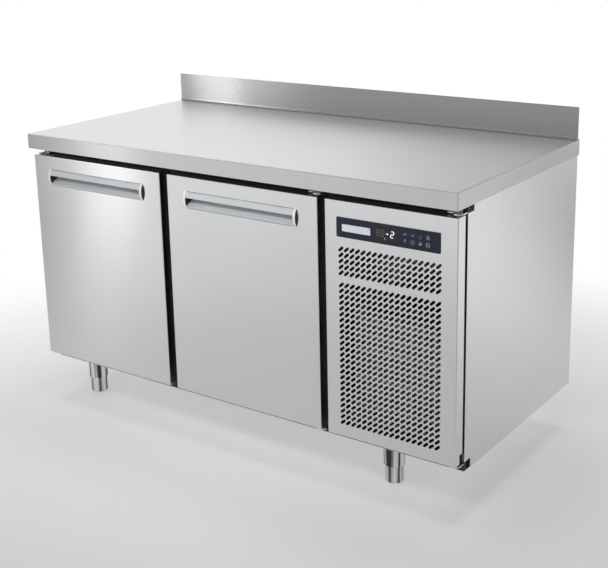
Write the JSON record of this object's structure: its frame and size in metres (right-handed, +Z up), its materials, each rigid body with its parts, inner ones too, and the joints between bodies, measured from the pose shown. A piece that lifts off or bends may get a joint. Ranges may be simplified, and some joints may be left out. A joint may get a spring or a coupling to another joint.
{
  "type": "undercounter refrigerator",
  "caption": "Low stainless steel refrigerated counter with hinged insulated doors, a slotted service panel over its condensing unit, and a worktop with a rear upstand.",
  "frame": {"origin": "on the floor, under the middle of the worktop's length and depth", "axes": "+X to the viewer's right along the worktop, +Y to the back, +Z up"},
  "size_m": [1.42, 0.7, 0.94],
  "materials": {
    "satin_steel": "satin stainless sheet with a fine brushed grain",
    "wire": "bright drawn wire",
    "black_plastic": "moulded black plastic",
    "grey_plastic": "moulded grey plastic",
    "white_plastic": "turned white nylon",
    "cap_plastic": "moulded silver-grey plastic",
    "fascia": "near-black navy printed polycarbonate",
    "foam": "rigid polyurethane foam",
    "core_board": "waterproof board faced with dark phenolic film",
    "gasket": "extruded magnetic gasket",
    "rubber": "moulded rubber",
    "fin_aluminium": "plain rolled fin stock",
    "black_enamel": "black stoved enamel",
    "copper": "drawn copper tube"
  },
  "bodies": {
    "cabinet": {"worktop": "satin_steel", "upstand": "satin_steel", "worktop_core": "core_board", "left_side_panel": "satin_steel", "right_side_panel": "satin_steel", "back_panel": "satin_steel", "base_panel": "satin_steel", "partition_panel": "satin_steel", "insulation_floor": "foam", "insulation_ceiling": "foam", "insulation_left": "foam", "insulation_partition": "foam", "insulation_back": "foam", "inner_liner": "satin_steel", "front_frame": "black_plastic", "hinge_brackets": "satin_steel", "bracket_screws": "satin_steel", "shelf_uprights": "satin_steel", "shelf_runners": "satin_steel", "shelf_left": "wire", "shelf_right": "wire", "evaporator_casing": "satin_steel", "evaporator_coil": "fin_aluminium", "evaporator_motor": "black_enamel", "drip_tray": "satin_steel", "unit_tray": "satin_steel", "compressor": "black_enamel", "compressor_mounts": "rubber", "condenser": "fin_aluminium", "fan_shroud": "black_enamel", "motor_bracket": "satin_steel", "condenser_motor": "black_enamel", "filter_drier": "copper", "refrigerant_lines": "copper", "electrical_box": "grey_plastic", "cable_gland": "black_plastic", "foot_sleeves": "satin_steel"},
    "left_door": {"left_door_skin": "satin_steel", "left_door_foam": "foam", "left_door_liner": "satin_steel", "left_door_gasket": "gasket", "left_door_handle": "cap_plastic", "left_door_handle_caps": "cap_plastic", "left_door_bushes": "white_plastic"},
    "right_door": {"right_door_skin": "satin_steel", "right_door_foam": "foam", "right_door_liner": "satin_steel", "right_door_gasket": "gasket", "right_door_handle": "cap_plastic", "right_door_handle_caps": "cap_plastic", "right_door_bushes": "white_plastic"},
    "evaporator_fan": {"evaporator_fan": "black_plastic"},
    "condenser_fan": {"condenser_fan": "fin_aluminium"},
    "foot_front_left": {"foot_front_left": "satin_steel"},
    "foot_front_right": {"foot_front_right": "satin_steel"},
    "foot_rear_left": {"foot_rear_left": "satin_steel"},
    "foot_rear_right": {"foot_rear_right": "satin_steel"},
    "service_panel": {"service_panel": "satin_steel", "control_fascia": "fascia", "controller": "black_plastic"}
  },
  "joints": [
    {"name": "left_door_hinge", "type": "hinge", "parent": "cabinet", "child": "left_door", "pos_m": [-0.692, -0.313, 0.164], "axis": [0, 0, -1], "range_deg": [0, 100]},
    {"name": "right_door_hinge", "type": "hinge", "parent": "cabinet", "child": "right_door", "pos_m": [0.301, -0.313, 0.164], "axis": [0, 0, 1], "range_deg": [0, 100]},
    {"name": "service_panel_hinge", "type": "hinge", "parent": "cabinet", "child": "service_panel", "pos_m": [0.692, -0.313, 0.164], "axis": [0, 0, 1], "range_deg": [0, 100]},
    {"name": "condenser_fan_spin", "type": "hinge", "parent": "cabinet", "child": "condenser_fan", "pos_m": [0.5198, -0.1643, 0.3087], "axis": [0, 1, 0], "continuous": true},
    {"name": "evaporator_fan_spin", "type": "hinge", "parent": "cabinet", "child": "evaporator_fan", "pos_m": [-0.1983, -0.09465, 0.5155], "axis": [1, 0, 0], "continuous": true},
    {"name": "foot_front_left_screw", "type": "slide", "parent": "cabinet", "child": "foot_front_left", "axis": [0, 0, -1], "range_m": [0, 0.04]},
    {"name": "foot_front_right_screw", "type": "slide", "parent": "cabinet", "child": "foot_front_right", "axis": [0, 0, -1], "range_m": [0, 0.04]},
    {"name": "foot_rear_left_screw", "type": "slide", "parent": "cabinet", "child": "foot_rear_left", "axis": [0, 0, -1], "range_m": [0, 0.04]},
    {"name": "foot_rear_right_screw", "type": "slide", "parent": "cabinet", "child": "foot_rear_right", "axis": [0, 0, -1], "range_m": [0, 0.04]}
  ]
}
